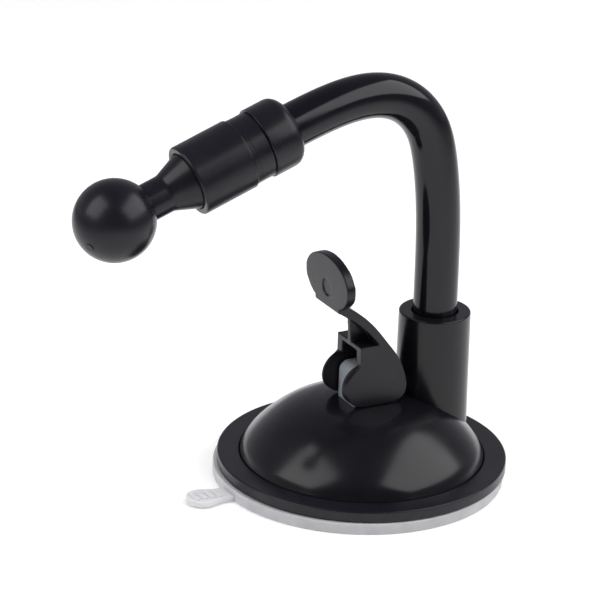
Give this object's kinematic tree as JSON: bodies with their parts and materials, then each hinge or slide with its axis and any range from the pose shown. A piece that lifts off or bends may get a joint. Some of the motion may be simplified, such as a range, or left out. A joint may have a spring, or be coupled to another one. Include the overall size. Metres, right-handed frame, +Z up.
{
  "type": "suction cup phone mount arm",
  "caption": "Lever-lock suction cup base with a bendable round arm that ends in a collar, a clamp nut and a ball head for a phone cradle.",
  "frame": {"origin": "centre of the dome's footprint, on the suction pad's flat underside", "axes": "+Z up, away from the gripped surface; +X from the lever to the arm's socket; the object mirrors in the XZ plane, so +Y is its symmetry normal"},
  "size_m": [0.0985, 0.0622, 0.0896],
  "materials": {
    "pale_gel": "translucent soft gel, slightly glossy",
    "satin_black": "satin moulded",
    "gloss_black": "polished",
    "sleeve_black": "smooth glossy vinyl",
    "white_nylon": "milky, slightly translucent",
    "steel": "plain drawn",
    "aluminium": "mill",
    "washer_rubber": "matt"
  },
  "bodies": {
    "base": {"gel_pad": "pale_gel", "rim_ring": "satin_black", "dome_housing": "gloss_black", "return_spring": "steel"},
    "plunger_body": {"plunger": "white_nylon", "lever_pin": "steel"},
    "lever_body": {"cam_lever": "satin_black"},
    "arm": {"foot_ferrule": "aluminium", "foot_screw": "steel", "foot_washer": "steel", "arm_sleeve": "sleeve_black", "arm_core": "aluminium"},
    "arm_tip": {"tip_ferrule": "aluminium", "rear_collar": "satin_black", "friction_washer": "washer_rubber", "ball_stud": "satin_black"},
    "nut_body": {"clamp_nut": "satin_black"}
  },
  "joints": [
    {"name": "plunger_lift", "type": "slide", "parent": "base", "child": "plunger_body", "axis": [0, 0, 1], "range_m": [0, 0.0038], "deforming": ["return_spring", "gel_pad"]},
    {"name": "lever_turn", "type": "hinge", "parent": "plunger_body", "child": "lever_body", "pos_m": [-0.00025, 0, 0.021], "axis": [0, -1, 0], "range_deg": [0, 85]},
    {"name": "arm_swivel", "type": "hinge", "parent": "base", "child": "arm", "pos_m": [0.01665, 0, 0.0346], "axis": [0, 0, 1], "range_deg": [-180, 180]},
    {"name": "arm_flex", "type": "hinge", "parent": "arm", "child": "arm_tip", "pos_m": [0.00865, 0, 0.08135], "axis": [0, 1, 0], "range_deg": [-25, 35], "deforming": ["arm_sleeve", "arm_core"]},
    {"name": "nut_turn", "type": "hinge", "parent": "arm_tip", "child": "nut_body", "pos_m": [-0.0366, 0, 0.07434], "axis": [0.9381, 0, 0.3464], "range_deg": [0, 360]}
  ],
  "couplings": [
    {"joint": "plunger_lift", "follows": "lever_turn", "m_per_rad": 0.0025465}
  ]
}
